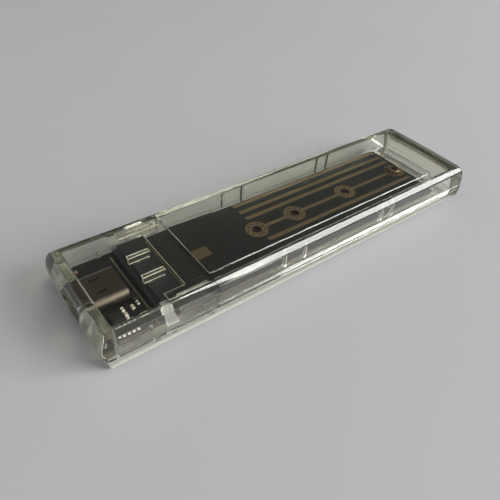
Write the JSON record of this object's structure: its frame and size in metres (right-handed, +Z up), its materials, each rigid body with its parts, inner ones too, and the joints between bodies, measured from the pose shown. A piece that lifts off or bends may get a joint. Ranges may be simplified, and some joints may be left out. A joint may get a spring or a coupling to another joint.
{
  "type": "ssd enclosure",
  "caption": "Clear slide-open enclosure for an M.2 solid state drive, with a USB-C port, a card socket on a black board and a lid on rails.",
  "frame": {"origin": "middle of the underside of the tray, on the surface it lies on", "axes": "+X along the case away from the port end, +Y across it, +Z up"},
  "size_m": [0.112, 0.0278, 0.0102],
  "materials": {
    "clear_tray": "clear polished polycarbonate",
    "clear_cover": "clear polished polycarbonate",
    "clear_lid": "clear polished polycarbonate",
    "solder_mask": "black satin solder mask",
    "socket_plastic": "black moulded, satin",
    "plated_steel": "dull plated sheet",
    "brass": "turned",
    "crystal_can": "pressed can",
    "chip_resin": "moulded resin",
    "capacitor_ceramic": "fired ceramic",
    "resistor_body": "glazed",
    "lamp_resin": "diffusing resin",
    "inductor_ferrite": "pressed ferrite"
  },
  "bodies": {
    "base": {"activity_lamp": "lamp_resin", "bridge_chip": "chip_resin", "capacitor_1": "capacitor_ceramic", "capacitor_2": "capacitor_ceramic", "capacitor_3": "capacitor_ceramic", "capacitor_4": "capacitor_ceramic", "capacitor_5": "capacitor_ceramic", "capacitor_6": "capacitor_ceramic", "card_nut": "brass", "crystal": "crystal_can", "esd_chip": "chip_resin", "flash_chip": "chip_resin", "head_cover": "clear_cover", "inductor": "inductor_ferrite", "m2_socket": "socket_plastic", "main_board": "solder_mask", "port_controller_chip": "chip_resin", "regulator_chip": "chip_resin", "resistor_1": "resistor_body", "resistor_2": "resistor_body", "resistor_3": "resistor_body", "resistor_4": "resistor_body", "resistor_5": "resistor_body", "tray": "clear_tray", "usb_blade": "socket_plastic", "usb_shell": "plated_steel"},
    "lid": {"sliding_lid": "clear_lid"}
  },
  "joints": [
    {"name": "lid_slide", "type": "slide", "parent": "base", "child": "lid", "axis": [1, 0, 0], "range_m": [0, 0.1]}
  ]
}
